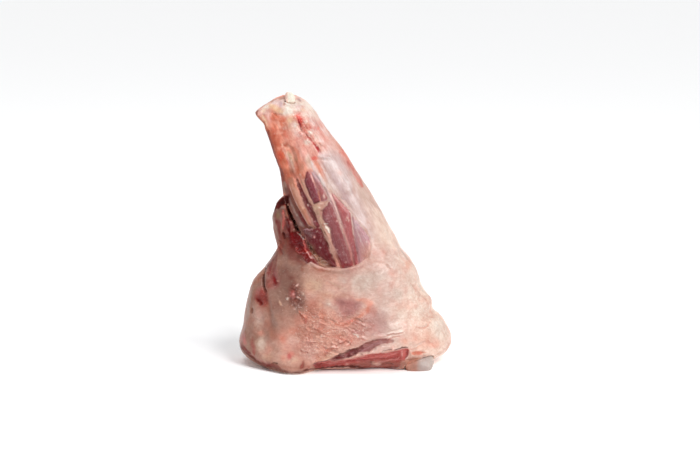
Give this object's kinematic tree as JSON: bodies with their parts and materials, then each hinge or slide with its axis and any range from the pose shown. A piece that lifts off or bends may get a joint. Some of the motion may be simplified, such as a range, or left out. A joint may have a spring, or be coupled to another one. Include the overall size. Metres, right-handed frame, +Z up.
{
  "type": "raw lamb hind shank",
  "caption": "Raw hind shank standing on its broad cut end: fat-covered meat with a bare muscle window, a free heel muscle, and the shank bone showing at both ends.",
  "frame": {"origin": "middle of the part's outline on the surface it stands on, at the flat cut face", "axes": "+Z up from the cut face towards the hock end; +X towards the shin and knee side; -Y is the outer side that the picture shows"},
  "size_m": [0.1258, 0.0751, 0.16],
  "materials": {
    "meat": "moist satin fat over dark pink muscle",
    "bone": "smooth damp cartilage"
  },
  "bodies": {
    "root": {"meat": "meat", "bone": "bone"}
  },
  "joints": []
}
